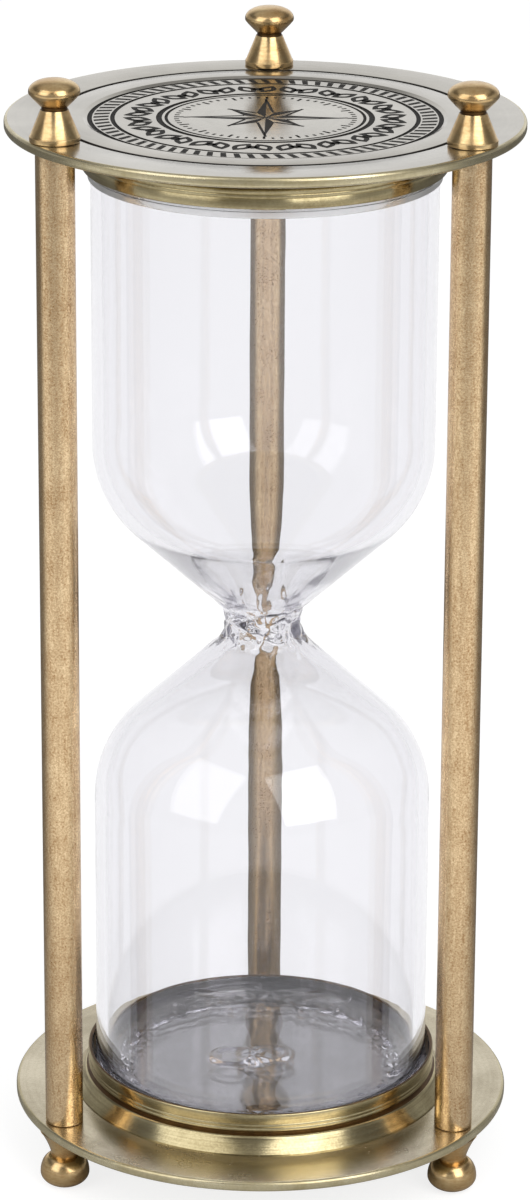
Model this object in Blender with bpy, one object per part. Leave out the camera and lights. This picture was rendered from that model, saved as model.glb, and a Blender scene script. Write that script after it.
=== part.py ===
"""An empty double-bulb hourglass in a three-pillar brass frame.

Metres, +Z up, the origin on the table under the middle of the three feet, the back pillar at +Y.
The glass stands in two turned brass cups, one on each plate, with a soft ring over it. Three tubes hold the plates apart, a threaded
rod through each tube pulls them together, and every rod ends in a ball foot below and a finial nut above.
"""

import math

import bmesh
import bpy
from mathutils import Vector

mm = 0.001

# Plates
plate_radius = 40 * mm
plate_thickness = 1.6 * mm
plate_edge_round = 0.5 * mm
clear_height = 159.2 * mm  # between the two plates
engraved_ring_radius = 32.2 * mm
engraved_ring_width = 0.9 * mm
medallion_radius = 27.6 * mm
engraving_depth = 0.3 * mm

# Pillars and the rods inside them
pillar_circle_radius = 36 * mm
pillar_diameter = 6 * mm
pillar_wall = 0.9 * mm
rod_diameter = 3 * mm
rod_chamfer = 0.3 * mm
thread_engagement = 4.2 * mm  # how far a rod reaches into its nut or foot

# Finial nuts, from the plate upwards
finial_base_diameter = 7.8 * mm
finial_base_height = 0.8 * mm
finial_cone_height = 4.75 * mm
finial_neck_diameter = 4.0 * mm
finial_bead_height = 0.45 * mm
finial_bead_step = 0.15 * mm
finial_bowl_height = 1.95 * mm
finial_cap_diameter = 7.8 * mm
finial_cap_edge = 0.95 * mm
finial_dome_height = 1.55 * mm

# Ball feet, from the plate downwards
foot_top_diameter = 7.8 * mm
foot_flare_height = 4.6 * mm
foot_neck_diameter = 4.9 * mm
foot_ball_diameter = 7.9 * mm
foot_ball_drop = 2.7 * mm  # from the neck to the widest place of the ball
foot_ball_height = 1.9 * mm  # below the widest place
foot_flat_diameter = 3.6 * mm

# Glass
bulb_radius = 26.9 * mm
bulb_wall = 1.8 * mm
bulb_end_wall = 2.4 * mm
bulb_end_round = 4 * mm
neck_radius = 5.9 * mm
neck_blend = 4.8 * mm
neck_bore_radius = 3.2 * mm
bore_blend = 6.5 * mm
shoulder_blend = 18.2 * mm
shoulder_from_neck = 29.5 * mm  # along the axis, to where a bulb becomes a cylinder
fill_hole_radius = 9 * mm

# Cups
cup_height = 5.8 * mm
cup_wall = 0.9 * mm
cup_floor = 0.7 * mm
cup_skirt_radius = 30.4 * mm
cup_groove_height = 2.8 * mm  # from the plate
cup_groove_depth = 0.35 * mm
cup_groove_width = 0.4 * mm

# Soft parts
pad_thickness = 0.6 * mm
pad_edge_margin = 0.8 * mm  # the pad is this much smaller than the glass
stopper_plug_length = 5 * mm
stopper_flange_overlap = 2 * mm
stopper_taper = 0.5 * mm
gasket_height = 1.3 * mm
gasket_thickness = 0.7 * mm

# Clearances
seat_gap = 0.3 * mm  # between two pieces that touch
slip_gap = 0.4 * mm  # round the glass, and round a rod

# Facets round a turned piece
plate_facets = 60
cup_facets = 40
glass_facets = 32
small_facets = 16
rod_facets = 12

# Heights that follow from the sizes above
foot_height = foot_flare_height + foot_ball_drop + foot_ball_height
bottom_plate_low = foot_height + seat_gap
bottom_plate_top = bottom_plate_low + plate_thickness
top_plate_bottom = bottom_plate_top + clear_height
top_plate_top = top_plate_bottom + plate_thickness
finial_neck_height = finial_base_height + finial_cone_height
finial_cap_height = finial_neck_height + finial_bowl_height
cup_stack = seat_gap + cup_floor + seat_gap  # from a plate to what lies in its cup
glass_bottom = bottom_plate_top + cup_stack
glass_top = top_plate_bottom - cup_stack - pad_thickness - seat_gap
glass_middle = (glass_bottom + glass_top) / 2
glass_half = (glass_top - glass_bottom) / 2
cup_inner_radius = bulb_radius + slip_gap
cup_lip_radius = cup_inner_radius + cup_wall
rod_hole_radius = rod_diameter / 2 + slip_gap

pillar_places = {"back": 90, "left": 210, "right": 330}  # degrees from +X


def material(name, colour, roughness, metallic=0.0, transmission=0.0):
    made = bpy.data.materials.new(name)
    made.use_nodes = True
    shader = made.node_tree.nodes["Principled BSDF"]
    shader.inputs["Base Color"].default_value = (*colour, 1)
    shader.inputs["Roughness"].default_value = roughness
    shader.inputs["Metallic"].default_value = metallic
    shader.inputs["Transmission Weight"].default_value = transmission
    made.diffuse_color = (*colour, 1)
    return made


def arc(centre_r, centre_z, radius, start, end, steps):
    """Points on an arc in the (r, z) plane, from the start angle to the end angle in degrees."""
    angles = [math.radians(start + (end - start) * i / steps) for i in range(steps + 1)]
    return [(centre_r + radius * math.cos(a), centre_z + radius * math.sin(a)) for a in angles]


def turned(name, profile, facets, finish, closed=False):
    """A mesh turned round Z from (r, z) points: a loop, or a line that starts and ends on the axis."""
    bm = bmesh.new()
    points = [bm.verts.new((r, 0, z)) for r, z in profile]
    pairs = list(zip(points, points[1:]))
    if closed:
        pairs.append((points[-1], points[0]))
    edges = [bm.edges.new(pair) for pair in pairs]
    bmesh.ops.spin(
        bm, geom=points + edges, axis=(0, 0, 1), cent=(0, 0, 0), angle=math.tau, steps=facets, use_merge=True
    )
    bmesh.ops.remove_doubles(bm, verts=bm.verts, dist=0.001 * mm)
    bmesh.ops.recalc_face_normals(bm, faces=bm.faces)
    mesh = bpy.data.meshes.new(name)
    bm.to_mesh(mesh)
    bm.free()
    mesh.materials.append(finish)
    mesh.shade_smooth()
    mesh.set_sharp_from_angle(angle=math.radians(35))
    return mesh


def placed(name, mesh, location=(0, 0, 0), parent=None):
    obj = bpy.data.objects.new(name, mesh)
    bpy.context.collection.objects.link(obj)
    obj.location = location
    if parent:
        obj.parent = parent
        obj.location = Vector(location) - parent.location
    return obj


def cylinder_profile(radius, low, high, chamfer=0.0):
    if not chamfer:
        return [(0, low), (radius, low), (radius, high), (0, high)]
    return [
        (0, low),
        (radius - chamfer, low),
        (radius, low + chamfer),
        (radius, high - chamfer),
        (radius - chamfer, high),
        (0, high),
    ]


def pillar_spot(place, z=0.0):
    angle = math.radians(pillar_places[place])
    return (pillar_circle_radius * math.cos(angle), pillar_circle_radius * math.sin(angle), z)


def plate_profile(low, engraved):
    """Half a plate's outline. The engraved one carries a ring and a sunken medallion on its upper face."""
    high = low + plate_thickness
    edge = plate_edge_round
    outline = [(0, low)]
    outline += arc(plate_radius - edge, low + edge, edge, -90, 0, 2)
    outline += arc(plate_radius - edge, high - edge, edge, 0, 90, 2)
    if engraved:
        for radius in (engraved_ring_radius, medallion_radius):
            outline += [(radius + engraved_ring_width / 2, high)]
            outline += [(radius, high - engraving_depth)]
            if radius == engraved_ring_radius:
                outline += [(radius - engraved_ring_width / 2, high)]
        outline += [(0, high - engraving_depth)]
    else:
        outline += [(0, high)]
    return outline


def rod_holes(plate, low):
    """Cuts the three rod holes through a plate."""
    margin = 2 * mm
    outline = cylinder_profile(rod_hole_radius, low - margin, low + plate_thickness + margin)
    mesh = turned(plate.name + "_rod_hole", outline, rod_facets, plate.data.materials[0])
    for place in pillar_places:
        cutter = placed(f"{plate.name}_{place}_cutter", mesh, pillar_spot(place))
        cutter.rotation_euler.z = math.pi / rod_facets  # so the plate's radial edges meet its flats
        cutter.hide_render = True
        cutter.display_type = "WIRE"
        cut = plate.modifiers.new(f"{place} rod hole", "BOOLEAN")
        cut.operation = "DIFFERENCE"
        cut.object = cutter


def cup_profile():
    """A cup standing on z = 0, its mouth up, with a flared skirt below its groove."""
    waist_radius = cup_lip_radius + cup_groove_depth
    skirt_rise = cup_groove_height - cup_groove_width
    # the skirt's hollow curve runs from the plate, almost flat, up to the groove
    skirt = []
    steps = 4
    for i in range(steps + 1):
        share = i / steps
        swept = (1 - math.sin(share * math.pi / 2)) * (cup_skirt_radius - waist_radius)
        skirt.append((waist_radius + swept, share * skirt_rise))
    outer = skirt + [
        (cup_lip_radius - cup_groove_depth, cup_groove_height),
        (cup_lip_radius, cup_groove_height + cup_groove_width),
        (cup_lip_radius, cup_height - cup_groove_width),
        (cup_lip_radius - cup_groove_width / 2, cup_height),
    ]
    inner = [(cup_inner_radius, cup_height), (cup_inner_radius, cup_floor)]
    return [(0, 0)] + outer + inner + [(0, cup_floor)]


def flipped(profile):
    return [(r, -z) for r, z in profile]


def bulb_outline(waist, waist_blend, radius, shoulder_radius, end, end_round):
    """(r, z) points from the waist at z = 0 up one bulb to the start of its flat end."""
    waist_centre = (waist + waist_blend, 0)
    shoulder_centre = (radius - shoulder_radius, shoulder_from_neck)
    across = shoulder_centre[0] - waist_centre[0]
    reach = math.hypot(across, shoulder_from_neck)
    # the straight flank is the line that touches both arcs on opposite sides
    flank = math.degrees(
        math.atan2(across, shoulder_from_neck) + math.asin((waist_blend + shoulder_radius) / reach)
    )
    outline = arc(*waist_centre, waist_blend, 180, 180 - flank, 2)
    outline += arc(*shoulder_centre, shoulder_radius, -flank, 0, 4)
    outline += arc(radius - end_round, end - end_round, end_round, 0, 90, 2)
    return outline


def glass_profile():
    """The glass about its middle, as one loop: up its outside, in at the fill hole, down and up its inside."""
    outer = bulb_outline(neck_radius, neck_blend, bulb_radius, shoulder_blend, glass_half, bulb_end_round)
    inner = bulb_outline(
        neck_bore_radius,
        bore_blend,
        bulb_radius - bulb_wall,
        shoulder_blend - bulb_wall,
        glass_half - bulb_end_wall,
        bulb_end_round - bulb_wall,
    )
    fill_hole = [(fill_hole_radius, glass_half), (fill_hole_radius, glass_half - bulb_end_wall)]
    outside = flipped(outer[:0:-1]) + outer
    inside = inner[::-1] + flipped(inner[1:])
    return [(0, -glass_half)] + outside + fill_hole + inside + [(0, bulb_end_wall - glass_half)]


def stopper_profile():
    """A rubber plug whose flange rests on the glass at z = 0."""
    plug_radius = fill_hole_radius - seat_gap
    flange_radius = fill_hole_radius + stopper_flange_overlap
    return [
        (0, seat_gap - stopper_plug_length),
        (plug_radius - stopper_taper, seat_gap - stopper_plug_length),
        (plug_radius, seat_gap),
        (flange_radius, seat_gap),
        (flange_radius, seat_gap + pad_thickness),
        (0, seat_gap + pad_thickness),
    ]


def ring_profile(inner_radius, outer_radius, low, high):
    return [(inner_radius, low), (outer_radius, low), (outer_radius, high), (inner_radius, high)]


def finial_profile():
    """A finial nut standing on z = 0: a blind bore, a cone that narrows to a beaded neck, and a domed cap."""
    base = finial_base_diameter / 2
    neck = finial_neck_diameter / 2
    cap = finial_cap_diameter / 2
    bore_top = thread_engagement + seat_gap
    cone_slope = (base - neck) / finial_cone_height
    bead_low = finial_neck_height - 2 * finial_bead_height
    under_bead = neck + cone_slope * 2 * finial_bead_height
    dome_radius = (cap**2 + finial_dome_height**2) / (2 * finial_dome_height)
    dome_low = finial_cap_height + finial_cap_edge
    dome_start = math.degrees(math.acos(cap / dome_radius))
    dome = arc(0, dome_low + finial_dome_height - dome_radius, dome_radius, dome_start, 90, 4)
    return [
        (0, bore_top),
        (rod_hole_radius, bore_top),
        (rod_hole_radius, 0),
        (base, 0),
        (base, finial_base_height),
        (under_bead, bead_low),
        (under_bead - finial_bead_step, bead_low + finial_bead_height / 2),
        (neck, finial_neck_height),
        (cap, finial_cap_height),
        *dome[:-1],
        (0, dome[-1][1]),
    ]


def foot_profile():
    """A ball foot hanging from z = 0: a hollow flare, a neck, and a ball with a small flat under it."""
    top = foot_top_diameter / 2
    neck = foot_neck_diameter / 2
    ball = foot_ball_diameter / 2
    flat = foot_flat_diameter / 2
    widest = foot_flare_height + foot_ball_drop
    flare = []
    steps = 4
    for i in range(steps):
        share = i / steps
        flare.append((neck + (top - neck) * (1 - share) ** 1.5, -share * foot_flare_height))
    # above its widest place the ball is part of an ellipse that ends at the neck
    upper = []
    for i in range(steps):
        angle = math.radians(90 * i / (steps - 1))
        upper.append((neck + (ball - neck) * math.sin(angle), -widest + foot_ball_drop * math.cos(angle)))
    flat_angle = math.acos(flat / ball)
    squash = foot_ball_height / math.sin(flat_angle)
    lower = []
    for i in range(1, steps + 1):
        angle = flat_angle * i / steps
        lower.append((ball * math.cos(angle), -widest - squash * math.sin(angle)))
    bore_top = thread_engagement + seat_gap
    return [
        (0, -bore_top),
        (rod_hole_radius, -bore_top),
        (rod_hole_radius, 0),
        *flare,
        *upper,
        *lower,
        (0, lower[-1][1]),
    ]


for old in list(bpy.data.objects):
    bpy.data.objects.remove(old)

plate_brass = material("plate brass", (0.55, 0.53, 0.50), 0.25, metallic=1)
cup_brass = material("cup brass", (0.48, 0.42, 0.25), 0.25, metallic=1)
pillar_brass = material("pillar brass", (0.50, 0.34, 0.16), 0.3, metallic=1)
nut_brass = material("nut brass", (0.52, 0.38, 0.17), 0.2, metallic=1)
steel = material("threaded steel", (0.55, 0.55, 0.56), 0.35, metallic=1)
clear_glass = material("clear glass", (0.94, 0.94, 0.97), 0.02, transmission=1)
grey_felt = material("grey felt", (0.20, 0.20, 0.21), 0.9)
rubber = material("black rubber", (0.03, 0.03, 0.03), 0.7)
silicone = material("white silicone", (0.80, 0.80, 0.80), 0.4)

lid = placed("lid_axis", None, (0, 0, top_plate_bottom))

bottom_plate = placed(
    "bottom_plate",
    turned("bottom_plate", plate_profile(bottom_plate_low, False), plate_facets, plate_brass),
)
top_plate = placed(
    "top_plate",
    turned("top_plate", plate_profile(0, True), plate_facets, plate_brass),
    (0, 0, top_plate_bottom),
    lid,
)
rod_holes(bottom_plate, bottom_plate_low)
rod_holes(top_plate, top_plate_bottom)

lower_cup_mesh = turned("lower_cup", cup_profile(), cup_facets, cup_brass)
upper_cup_mesh = turned("upper_cup", flipped(cup_profile()), cup_facets, cup_brass)
placed("lower_cup", lower_cup_mesh, (0, 0, bottom_plate_top + seat_gap))
placed("upper_cup", upper_cup_mesh, (0, 0, top_plate_bottom - seat_gap), lid)

placed("glass_bulbs", turned("glass_bulbs", glass_profile(), glass_facets, clear_glass), (0, 0, glass_middle))
placed("fill_stopper", turned("fill_stopper", stopper_profile(), glass_facets, rubber), (0, 0, glass_top))

pad_radius = bulb_radius - pad_edge_margin
stopper_room = fill_hole_radius + stopper_flange_overlap + slip_gap
upper_pad = ring_profile(stopper_room, pad_radius, 0, pad_thickness)
placed(
    "upper_pad",
    turned("upper_pad", upper_pad, glass_facets, grey_felt, closed=True),
    (0, 0, glass_top + seat_gap),
    lid,
)

gasket_inner_radius = bulb_radius + seat_gap
gasket_high = top_plate_bottom - seat_gap - cup_height - seat_gap
gasket = ring_profile(
    gasket_inner_radius, gasket_inner_radius + gasket_thickness, gasket_high - gasket_height, gasket_high
)
placed("upper_gasket", turned("upper_gasket", gasket, cup_facets, silicone, closed=True))

tube = ring_profile(
    pillar_diameter / 2 - pillar_wall,
    pillar_diameter / 2,
    bottom_plate_top + seat_gap,
    top_plate_bottom - seat_gap,
)
rod_low = foot_height - thread_engagement
rod_high = top_plate_top + thread_engagement
rod = cylinder_profile(rod_diameter / 2, rod_low, rod_high, rod_chamfer)
pillar_mesh = turned("pillar", tube, small_facets, pillar_brass, closed=True)
rod_mesh = turned("tie_rod", rod, rod_facets, steel)
finial_mesh = turned("finial", finial_profile(), small_facets, nut_brass)
foot_mesh = turned("foot", foot_profile(), small_facets, nut_brass)
for place in pillar_places:
    placed(f"pillar_{place}", pillar_mesh, pillar_spot(place))
    placed(f"tie_rod_{place}", rod_mesh, pillar_spot(place))
    placed(f"foot_{place}", foot_mesh, pillar_spot(place, foot_height))
    placed(f"finial_{place}", finial_mesh, pillar_spot(place, top_plate_top + seat_gap), lid)
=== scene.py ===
import math

import bpy
from mathutils import Matrix, Vector, noise


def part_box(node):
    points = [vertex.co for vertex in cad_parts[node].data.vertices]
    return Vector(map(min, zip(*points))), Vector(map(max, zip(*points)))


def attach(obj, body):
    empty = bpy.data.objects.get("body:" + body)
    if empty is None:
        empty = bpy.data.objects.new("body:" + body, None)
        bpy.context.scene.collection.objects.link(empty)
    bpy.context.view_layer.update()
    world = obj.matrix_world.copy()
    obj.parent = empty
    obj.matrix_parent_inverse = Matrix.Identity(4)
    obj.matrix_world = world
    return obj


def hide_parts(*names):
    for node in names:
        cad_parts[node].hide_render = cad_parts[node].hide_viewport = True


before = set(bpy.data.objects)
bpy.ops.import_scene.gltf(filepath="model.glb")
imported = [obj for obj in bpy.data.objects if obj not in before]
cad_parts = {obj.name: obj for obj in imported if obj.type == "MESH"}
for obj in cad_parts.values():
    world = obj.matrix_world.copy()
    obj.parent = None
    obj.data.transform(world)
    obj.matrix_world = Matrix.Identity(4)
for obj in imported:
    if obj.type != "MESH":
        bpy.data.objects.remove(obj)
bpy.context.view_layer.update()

mm = 0.001
contactGap = 0.02 * mm  # between two pieces that rest on each other
places = ("back", "left", "right")  # the three pillars, seen from above


# camera

view = {
    "stand": (0.0104, -0.6876, 0.3313),
    "lookDown": 19.07,  # degrees
    "turn": 0.84,
    "tilt": 0.31,
    "lens": 137.8,
}
bpy.ops.object.select_all(action="DESELECT")
bpy.ops.object.camera_add()
camera = bpy.context.object
camera.data.lens = view["lens"]
camera.data.sensor_width = 36
camera.data.clip_start = 0.01
aim = Matrix.Rotation(math.radians(view["turn"]), 4, "Z")
aim = aim @ Matrix.Rotation(math.radians(90 - view["lookDown"]), 4, "X")
aim = aim @ Matrix.Rotation(math.radians(view["tilt"]), 4, "Z")
camera.matrix_world = Matrix.Translation(view["stand"]) @ aim
bpy.context.scene.camera = camera


# shader helpers

def linearColour(hexColour):
    values = [int(hexColour[i:i + 2], 16) / 255 for i in (1, 3, 5)]
    return [v / 12.92 if v <= 0.04045 else ((v + 0.055) / 1.055) ** 2.4 for v in values] + [1]


def addNode(tree, kind, settings=None, inputs=None):
    # an input is either a value or the output socket that feeds it
    node = tree.nodes.new("ShaderNode" + kind)
    for name, value in (settings or {}).items():
        setattr(node, name, value)
    for name, value in (inputs or {}).items():
        if isinstance(value, bpy.types.NodeSocket):
            tree.links.new(value, node.inputs[name])
        else:
            node.inputs[name].default_value = value
    return node


def noiseAt(tree, place, size, **settings):
    # soft noise whose largest marks are about this size
    return addNode(tree, "TexNoise", inputs={"Vector": place, "Scale": 1 / size, **settings})


def blend(tree, factor, first, second):
    return addNode(tree, "MixRGB", inputs={
        "Fac": factor, "Color1": linearColour(first), "Color2": linearColour(second)})


def softRamp(tree, value, reach, low, high):
    return addNode(tree, "MapRange", {"interpolation_type": "SMOOTHSTEP"}, {
        "Value": value, "From Min": reach[0], "From Max": reach[1], "To Min": low, "To Max": high})


def higher(tree, first, second):
    return addNode(tree, "Math", {"operation": "MAXIMUM"}, {0: first, 1: second}).outputs[0]


def seenDirectly(tree, rays):
    # 1 for what the eye sees, also through the glass or mirrored in it, 0 for what metal reflects
    through = higher(tree, rays.outputs["Is Camera Ray"], rays.outputs["Is Transmission Ray"])
    return higher(tree, through, rays.outputs["Is Singular Ray"])


def newFinish(name, constants):
    finish = bpy.data.materials.new(name)
    finish.use_nodes = True
    tree = finish.node_tree
    shader = tree.nodes["Principled BSDF"]
    for socket, value in constants.items():
        shader.inputs[socket].default_value = value
    return finish, tree, shader


def brassFinish(name, look):
    # Brass, aged and lacquered. Its colour drifts in soft patches, its grain is fine and
    # the lathe or the drawing die leaves faint lines.
    finish, tree, shader = newFinish(name, {
        "Metallic": 1, "Anisotropic": look.get("anisotropy", 0), "Anisotropic Rotation": 0.25})
    place = addNode(tree, "TexCoord").outputs["Object"]
    lineSource = place
    if look.get("turned"):
        # lines round the middle axis follow the radius and the height
        flat = addNode(tree, "VectorMath", {"operation": "MULTIPLY"}, {0: place, 1: (1, 1, 0)})
        radius = addNode(tree, "VectorMath", {"operation": "LENGTH"}, {0: flat.outputs[0]})
        height = addNode(tree, "SeparateXYZ", inputs={0: place}).outputs["Z"]
        angle = addNode(tree, "VectorMath", {"operation": "NORMALIZE"}, {0: flat.outputs[0]})
        angleX = addNode(tree, "SeparateXYZ", inputs={0: angle.outputs[0]}).outputs["X"]
        drift = addNode(tree, "Math", {"operation": "MULTIPLY"}, {0: angleX, 1: look["lineSpacing"] * 2})
        joined = addNode(tree, "CombineXYZ", inputs={
            "X": radius.outputs["Value"], "Y": drift.outputs[0], "Z": height})
        lineSource = joined.outputs[0]
    stretched = addNode(tree, "Mapping", inputs={
        "Vector": lineSource, "Scale": look.get("stretch", (1, 1, 1))})
    lines = noiseAt(tree, stretched.outputs[0], look["lineSpacing"], Detail=3, Roughness=0.65)
    grain = noiseAt(tree, place, look["grain"], Detail=4, Roughness=0.7)
    patches = noiseAt(tree, place, look["patch"], Detail=3, Roughness=0.55)
    lineShare = addNode(tree, "Math", {"operation": "MULTIPLY"}, {
        0: lines.outputs["Fac"], 1: look["lineWeight"]})
    grainShare = addNode(tree, "Math", {"operation": "MULTIPLY_ADD"}, {
        0: grain.outputs["Fac"], 1: look["grainWeight"], 2: lineShare.outputs[0]})
    tone = addNode(tree, "Math", {"operation": "MULTIPLY_ADD"}, {
        0: patches.outputs["Fac"], 1: look["patchWeight"], 2: grainShare.outputs[0]})
    middle, reach = (look["lineWeight"] + look["grainWeight"] + look["patchWeight"]) / 2, look["contrast"]
    spread = addNode(tree, "MapRange", inputs={
        "Value": tone.outputs[0], "From Min": middle - reach, "From Max": middle + reach})
    colour = blend(tree, spread.outputs[0], look["dark"], look["light"])
    tree.links.new(colour.outputs[0], shader.inputs["Base Color"])
    rough = addNode(tree, "MapRange", inputs={
        "Value": spread.outputs[0], "To Min": look["roughest"], "To Max": look["smoothest"]})
    tree.links.new(rough.outputs[0], shader.inputs["Roughness"])
    relief = addNode(tree, "Math", {"operation": "ADD"}, {0: lineShare.outputs[0], 1: grainShare.outputs[0]})
    bump = addNode(tree, "Bump", inputs={
        "Height": relief.outputs[0], "Strength": look["bump"], "Distance": look["bumpDepth"]})
    tree.links.new(bump.outputs[0], shader.inputs["Normal"])
    if look.get("anisotropy"):
        around = addNode(tree, "Tangent", {"direction_type": "RADIAL", "axis": "Z"})
        tree.links.new(around.outputs[0], shader.inputs["Tangent"])
    return finish


# modelling helpers

def arcPoints(centreR, centreZ, radius, start, end, steps):
    # points on an arc of an outline, angles in degrees
    angles = [math.radians(start + (end - start) * i / steps) for i in range(steps + 1)]
    return [(centreR + radius * math.cos(a), centreZ + radius * math.sin(a)) for a in angles]


def softened(corners, steps=4):
    # each corner (r, z, rounding) becomes an arc that touches both its sides
    outline = []
    for i, corner in enumerate(corners):
        here, rounding = Vector(corner[:2]), (corner[2] if len(corner) > 2 else 0)
        if not rounding or i in (0, len(corners) - 1):
            outline.append(tuple(here))
            continue
        back = (Vector(corners[i - 1][:2]) - here).normalized()
        on = (Vector(corners[i + 1][:2]) - here).normalized()
        half = back.angle(on) / 2
        centre = here + (back + on).normalized() * rounding / math.sin(half)
        first = here + back * rounding / math.tan(half) - centre
        turn = first.angle_signed(here + on * rounding / math.tan(half) - centre)
        for step in range(steps + 1):
            spoke = first.copy()
            spoke.rotate(Matrix.Rotation(-turn * step / steps, 2))
            outline.append(tuple(centre + spoke))
    return outline


def drawOutline(name, points, plane="XZ"):
    # starts from a small plane merged to one corner, then extrudes that corner along the points
    bpy.ops.object.select_all(action="DESELECT")
    bpy.ops.mesh.primitive_plane_add(size=mm, location=(0, 0, 0))
    piece = bpy.context.object
    piece.name = piece.data.name = name
    bpy.ops.object.mode_set(mode="EDIT")
    bpy.ops.mesh.select_all(action="SELECT")
    bpy.ops.mesh.merge(type="CENTER")
    corners = [Vector((a, 0, b)) if plane == "XZ" else Vector((a, b, 0)) for a, b in points]
    bpy.ops.transform.translate(value=corners[0])
    for before, here in zip(corners, corners[1:]):
        bpy.ops.mesh.extrude_region_move(TRANSFORM_OT_translate={"value": here - before})
    return piece


def closeUp(piece):
    bpy.ops.mesh.select_all(action="SELECT")
    bpy.ops.mesh.remove_doubles(threshold=0.0005 * mm)
    bpy.ops.mesh.normals_make_consistent(inside=False)
    bpy.ops.object.mode_set(mode="OBJECT")
    return piece


def turned(name, outline, steps, loop=False):
    # a lathe-turned solid: the outline spun round Z
    piece = drawOutline(name, outline + outline[:1] if loop else outline)
    bpy.ops.mesh.select_all(action="SELECT")
    bpy.ops.mesh.spin(steps=steps, angle=math.tau, center=(0, 0, 0), axis=(0, 0, 1))
    closeUp(piece)
    smooth(piece)
    return piece


def smooth(piece, angle=38):
    bpy.ops.object.select_all(action="DESELECT")
    piece.select_set(True)
    bpy.context.view_layer.objects.active = piece
    bpy.ops.object.shade_smooth_by_angle(angle=math.radians(angle))


def inlay(name, points, low, thick, copies=1):
    # a flat shape with a real thickness, copied evenly round the middle
    piece = drawOutline(name, points + points[:1], "XY")
    bpy.ops.mesh.select_all(action="SELECT")
    bpy.ops.mesh.remove_doubles(threshold=0.0005 * mm)
    bpy.ops.mesh.edge_face_add()
    bpy.ops.mesh.extrude_region_move(TRANSFORM_OT_translate={"value": (0, 0, thick)})
    bpy.ops.mesh.select_all(action="SELECT")
    bpy.ops.transform.translate(value=(0, 0, low))
    if copies > 1:
        bpy.ops.mesh.spin(steps=copies - 1, dupli=True, angle=math.tau * (copies - 1) / copies,
                          center=(0, 0, 0), axis=(0, 0, 1))
    return closeUp(piece)


def joinAll(name, pieces):
    bpy.ops.object.select_all(action="DESELECT")
    for piece in pieces:
        piece.select_set(True)
    bpy.context.view_layer.objects.active = pieces[0]
    bpy.ops.object.join()
    pieces[0].name = pieces[0].data.name = name
    return pieces[0]


def bored(piece, spots, radius, low, high):
    # cuts the three rod holes
    for x, y in spots:
        bpy.ops.object.select_all(action="DESELECT")
        bpy.ops.mesh.primitive_cylinder_add(
            vertices=32, radius=radius, depth=high - low, location=(x, y, (low + high) / 2))
        drill = bpy.context.object
        cut = piece.modifiers.new("rodHole", "BOOLEAN")
        cut.object = drill
        cut.operation = "DIFFERENCE"
        bpy.context.view_layer.objects.active = piece
        bpy.ops.object.modifier_apply(modifier=cut.name)
        bpy.data.objects.remove(drill)


def standCopies(piece, name, node, body, spots):
    # one copy at each pillar, each with its own mesh
    for place, (x, y) in zip(places, spots):
        twin = piece.copy()
        twin.data = piece.data.copy()
        twin.name = twin.data.name = f"{name}_{place}"
        bpy.context.collection.objects.link(twin)
        twin.data.transform(Matrix.Translation((x, y, 0)))
        settle(twin, body.format(place), node.format(place))
    bpy.data.objects.remove(piece)


def settle(piece, body, node):
    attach(piece, body)
    if node:
        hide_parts(node)


def paint(piece, finish, *others):
    piece.data.materials.clear()
    for one in (finish, *others):
        piece.data.materials.append(one)


def paintWhere(piece, index, test):
    # gives the faces that pass the test (radius, height, normal) another of the piece's finishes
    for face in piece.data.polygons:
        x, y, z = face.center
        if test(math.hypot(x, y), z, face.normal):
            face.material_index = index


def span(node):
    low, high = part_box(node)
    return low[2], high[2], (high[0] - low[0]) / 2


spots = []
for place in places:
    low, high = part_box(f"pillar_{place}")
    spots.append(((low[0] + high[0]) / 2, (low[1] + high[1]) / 2))


# finishes

print("mixing finishes")

# Antique plated brass plate: pressed, lacquered, a cool grey straw colour with a soft mirror.
plateTopFinish = brassFinish("platedBrassLidFace", {
    "light": "#C4C0B7", "dark": "#ADA9A1", "roughest": 0.2, "smoothest": 0.13,
    "turned": True, "lineSpacing": 0.9 * mm, "grain": 0.5 * mm, "patch": 16 * mm,
    "lineWeight": 0.3, "grainWeight": 0.3, "patchWeight": 1.0, "contrast": 0.22,
    "bump": 0.05, "bumpDepth": 0.05 * mm,
})
# The lower plate has the same plating, given a browner colour than the lid.
plateLowFinish = brassFinish("platedBrassBaseFace", {
    "light": "#D8CEB6", "dark": "#B3A88F", "roughest": 0.3, "smoothest": 0.2,
    "turned": True, "lineSpacing": 0.9 * mm, "grain": 0.5 * mm, "patch": 14 * mm,
    "lineWeight": 0.3, "grainWeight": 0.4, "patchWeight": 1.0, "contrast": 0.2,
    "bump": 0.08, "bumpDepth": 0.05 * mm,
})
# The plates' rims are turned after plating, so the yellow brass shows with fine lines.
rimFinish = brassFinish("turnedBrassRim", {
    "light": "#DCD2B2", "dark": "#B3A680", "roughest": 0.34, "smoothest": 0.24,
    "turned": True, "lineSpacing": 0.25 * mm, "grain": 0.6 * mm, "patch": 9 * mm,
    "lineWeight": 0.6, "grainWeight": 0.5, "patchWeight": 0.9, "contrast": 0.25,
    "bump": 0.15, "bumpDepth": 0.04 * mm,
})
# Cups: spun brass with an olive lacquer; the lathe lines spread the highlights sideways.
cupFinish = brassFinish("spunBrassCup", {
    "light": "#D4C8A1", "dark": "#897A55", "roughest": 0.27, "smoothest": 0.18,
    "turned": True, "lineSpacing": 0.35 * mm, "grain": 0.4 * mm, "patch": 10 * mm,
    "lineWeight": 0.6, "grainWeight": 0.5, "patchWeight": 0.8, "contrast": 0.3,
    "anisotropy": 0.75, "bump": 0.12, "bumpDepth": 0.04 * mm,
})
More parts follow.
